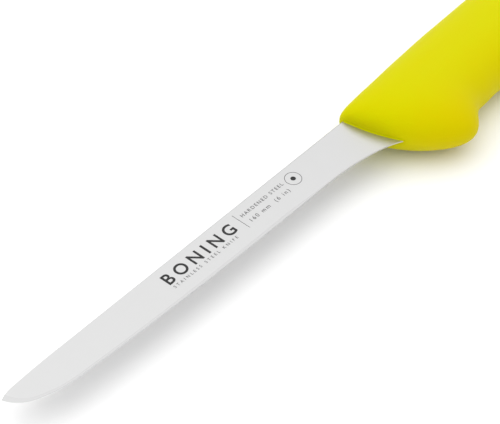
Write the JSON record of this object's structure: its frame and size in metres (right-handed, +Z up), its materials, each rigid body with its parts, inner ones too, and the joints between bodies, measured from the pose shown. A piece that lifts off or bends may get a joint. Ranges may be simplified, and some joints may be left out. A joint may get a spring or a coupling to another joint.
{
  "type": "boning knife",
  "caption": "Narrow boning knife: a slim, slightly curved steel blade with a moulded plastic handle, finger guard, finger groove and butt hook.",
  "frame": {"origin": "bottom centre of the bounding box, with the knife lying on its right side", "axes": "+X from the butt to the tip, +Y from the spine to the cutting edge, +Z up, towards the knife's left side"},
  "size_m": [0.3001, 0.0414, 0.0224],
  "materials": {
    "blade_steel": "fine satin, ground across the blade",
    "core_plastic": "natural, as moulded",
    "grip_plastic": "yellow, very fine spark-eroded grain"
  },
  "bodies": {
    "root": {"blade": "blade_steel", "handle_core": "core_plastic", "grip_cover": "grip_plastic"}
  },
  "joints": []
}
